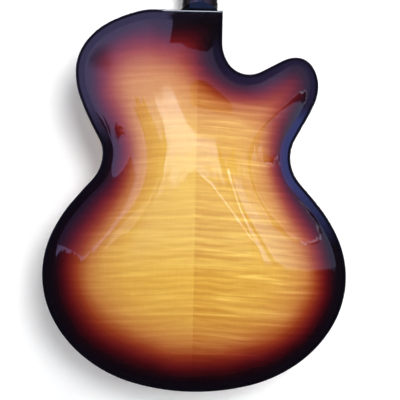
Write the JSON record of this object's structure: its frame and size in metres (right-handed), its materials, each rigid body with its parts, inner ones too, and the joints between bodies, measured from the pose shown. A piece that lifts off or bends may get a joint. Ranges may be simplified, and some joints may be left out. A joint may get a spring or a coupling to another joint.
{
  "type": "archtop guitar",
  "caption": "Left-handed hollow archtop guitar with a rounded cutaway, carved sunburst plates, floating bridge and pickup, turning tuners, knobs and bridge height wheels.",
  "frame": {"origin": "where the axis of the end-pin jack meets the tail, half-way through the depth of the ribs", "axes": "+Z from the tail to the headstock, strings face -Y, back faces +Y, cutaway on the -X side"},
  "size_m": [0.406, 0.1463, 1.0347],
  "materials": {
    "back_lacquer": "flame maple, sunburst lacquer, gloss",
    "top_lacquer": "spruce, sunburst lacquer, gloss",
    "rib_lacquer": "maple, dark lacquer, gloss",
    "bare_wood": "bare spruce and mahogany",
    "binding": "black, gloss",
    "neck_lacquer": "dark lacquer, gloss",
    "black_gloss": "black, gloss",
    "ebony": "ebony, satin",
    "fret_wire": "nickel silver, polished",
    "pearl": "pearl",
    "bone": "bone, satin",
    "steel": "steel",
    "plated_metal": "nickel plate, polished",
    "brass": "brass, polished",
    "knob_plastic": "black, gloss",
    "plain_string": "plain steel wire",
    "wound_string": "nickel-wound wire",
    "button_plastic": "cream, gloss"
  },
  "bodies": {
    "guitar": {"back_plate_bass": "back_lacquer", "top_plate_bass": "top_lacquer", "rib_bass": "rib_lacquer", "back_plate_treble": "back_lacquer", "top_plate_treble": "top_lacquer", "rib_treble": "rib_lacquer", "back_binding": "binding", "top_binding": "binding", "head_block": "bare_wood", "tail_block": "bare_wood", "back_linings": "bare_wood", "top_linings": "bare_wood", "tone_bars": "bare_wood", "neck": "neck_lacquer", "truss_rod": "steel", "heel_cap": "black_gloss", "headplate": "black_gloss", "truss_rod_cover": "black_gloss", "fretboard": "ebony", "position_markers": "pearl", "frets": "fret_wire", "string_1": "plain_string", "string_2": "plain_string", "string_3": "wound_string", "string_4": "wound_string", "string_5": "wound_string", "string_6": "wound_string", "nut": "bone", "tuner_housings": "plated_metal", "tuner_bushings": "plated_metal", "tuner_screws": "plated_metal", "bridge_base": "ebony", "bridge_posts": "brass", "endpin_jack": "plated_metal", "tailpiece": "ebony", "tailpiece_hanger": "plated_metal", "pickguard": "black_gloss", "pickguard_bracket": "plated_metal", "fixing_screws": "plated_metal", "pickup": "plated_metal", "pole_pieces": "steel", "pickup_bracket": "plated_metal", "potentiometers": "steel"},
    "tuner_button_1": {"tuner_button_1": "button_plastic"},
    "tuner_post_1": {"tuner_post_1": "plated_metal"},
    "tuner_button_2": {"tuner_button_2": "button_plastic"},
    "tuner_post_2": {"tuner_post_2": "plated_metal"},
    "tuner_button_3": {"tuner_button_3": "button_plastic"},
    "tuner_post_3": {"tuner_post_3": "plated_metal"},
    "tuner_button_4": {"tuner_button_4": "button_plastic"},
    "tuner_post_4": {"tuner_post_4": "plated_metal"},
    "tuner_button_5": {"tuner_button_5": "button_plastic"},
    "tuner_post_5": {"tuner_post_5": "plated_metal"},
    "tuner_button_6": {"tuner_button_6": "button_plastic"},
    "tuner_post_6": {"tuner_post_6": "plated_metal"},
    "saddle": {"bridge_saddle": "ebony"},
    "thumbwheel_bass": {"thumbwheel_bass": "brass"},
    "thumbwheel_treble": {"thumbwheel_treble": "brass"},
    "knob_volume": {"knob_volume": "knob_plastic"},
    "knob_tone": {"knob_tone": "knob_plastic"}
  },
  "joints": [
    {"name": "tuner_button_1_turn", "type": "hinge", "parent": "guitar", "child": "tuner_button_1", "pos_m": [-0.02095, -0.00141, 0.90259], "axis": [-1, 0, 0], "continuous": true},
    {"name": "tuner_post_1_turn", "type": "hinge", "parent": "guitar", "child": "tuner_post_1", "pos_m": [-0.02095, -0.02307, 0.90217], "axis": [0, 0.9524, -0.3049], "continuous": true},
    {"name": "tuner_button_2_turn", "type": "hinge", "parent": "guitar", "child": "tuner_button_2", "pos_m": [-0.02379, 0.01139, 0.94259], "axis": [-1, 0, 0], "continuous": true},
    {"name": "tuner_post_2_turn", "type": "hinge", "parent": "guitar", "child": "tuner_post_2", "pos_m": [-0.02379, -0.01027, 0.94217], "axis": [0, 0.9524, -0.3049], "continuous": true},
    {"name": "tuner_button_3_turn", "type": "hinge", "parent": "guitar", "child": "tuner_button_3", "pos_m": [-0.02663, 0.0242, 0.98259], "axis": [-1, 0, 0], "continuous": true},
    {"name": "tuner_post_3_turn", "type": "hinge", "parent": "guitar", "child": "tuner_post_3", "pos_m": [-0.02663, 0.00254, 0.98217], "axis": [0, 0.9524, -0.3049], "continuous": true},
    {"name": "tuner_button_4_turn", "type": "hinge", "parent": "guitar", "child": "tuner_button_4", "pos_m": [0.02663, 0.0242, 0.98259], "axis": [1, 0, 0], "continuous": true},
    {"name": "tuner_post_4_turn", "type": "hinge", "parent": "guitar", "child": "tuner_post_4", "pos_m": [0.02663, 0.00254, 0.98217], "axis": [0, 0.9524, -0.3049], "continuous": true},
    {"name": "tuner_button_5_turn", "type": "hinge", "parent": "guitar", "child": "tuner_button_5", "pos_m": [0.02379, 0.01139, 0.94259], "axis": [1, 0, 0], "continuous": true},
    {"name": "tuner_post_5_turn", "type": "hinge", "parent": "guitar", "child": "tuner_post_5", "pos_m": [0.02379, -0.01027, 0.94217], "axis": [0, 0.9524, -0.3049], "continuous": true},
    {"name": "tuner_button_6_turn", "type": "hinge", "parent": "guitar", "child": "tuner_button_6", "pos_m": [0.02095, -0.00141, 0.90259], "axis": [1, 0, 0], "continuous": true},
    {"name": "tuner_post_6_turn", "type": "hinge", "parent": "guitar", "child": "tuner_post_6", "pos_m": [0.02095, -0.02307, 0.90217], "axis": [0, 0.9524, -0.3049], "continuous": true},
    {"name": "saddle_lift", "type": "slide", "parent": "guitar", "child": "saddle", "axis": [0, -1, 0], "range_m": [-0.002, 0]},
    {"name": "thumbwheel_bass_turn", "type": "hinge", "parent": "saddle", "child": "thumbwheel_bass", "pos_m": [0.037, -0.072, 0.22807], "axis": [0, -1, 0], "range_deg": [-901, 1]},
    {"name": "thumbwheel_treble_turn", "type": "hinge", "parent": "saddle", "child": "thumbwheel_treble", "pos_m": [-0.037, -0.072, 0.22807], "axis": [0, -1, 0], "range_deg": [-901, 1]},
    {"name": "knob_volume_turn", "type": "hinge", "parent": "guitar", "child": "knob_volume", "pos_m": [-0.066, -0.07826, 0.29247], "axis": [0, 0.9979, -0.0654], "range_deg": [0, 300]},
    {"name": "knob_tone_turn", "type": "hinge", "parent": "guitar", "child": "knob_tone", "pos_m": [-0.066, -0.07525, 0.33837], "axis": [0, 0.9979, -0.0654], "range_deg": [0, 300]}
  ],
  "couplings": [
    {"joint": "tuner_post_1_turn", "follows": "tuner_button_1_turn", "ratio": 0.066667},
    {"joint": "tuner_post_2_turn", "follows": "tuner_button_2_turn", "ratio": 0.066667},
    {"joint": "tuner_post_3_turn", "follows": "tuner_button_3_turn", "ratio": 0.066667},
    {"joint": "tuner_post_4_turn", "follows": "tuner_button_4_turn", "ratio": 0.066667},
    {"joint": "tuner_post_5_turn", "follows": "tuner_button_5_turn", "ratio": 0.066667},
    {"joint": "tuner_post_6_turn", "follows": "tuner_button_6_turn", "ratio": 0.066667},
    {"joint": "thumbwheel_bass_turn", "follows": "saddle_lift", "rad_per_m": 7854},
    {"joint": "thumbwheel_treble_turn", "follows": "saddle_lift", "rad_per_m": 7854}
  ]
}
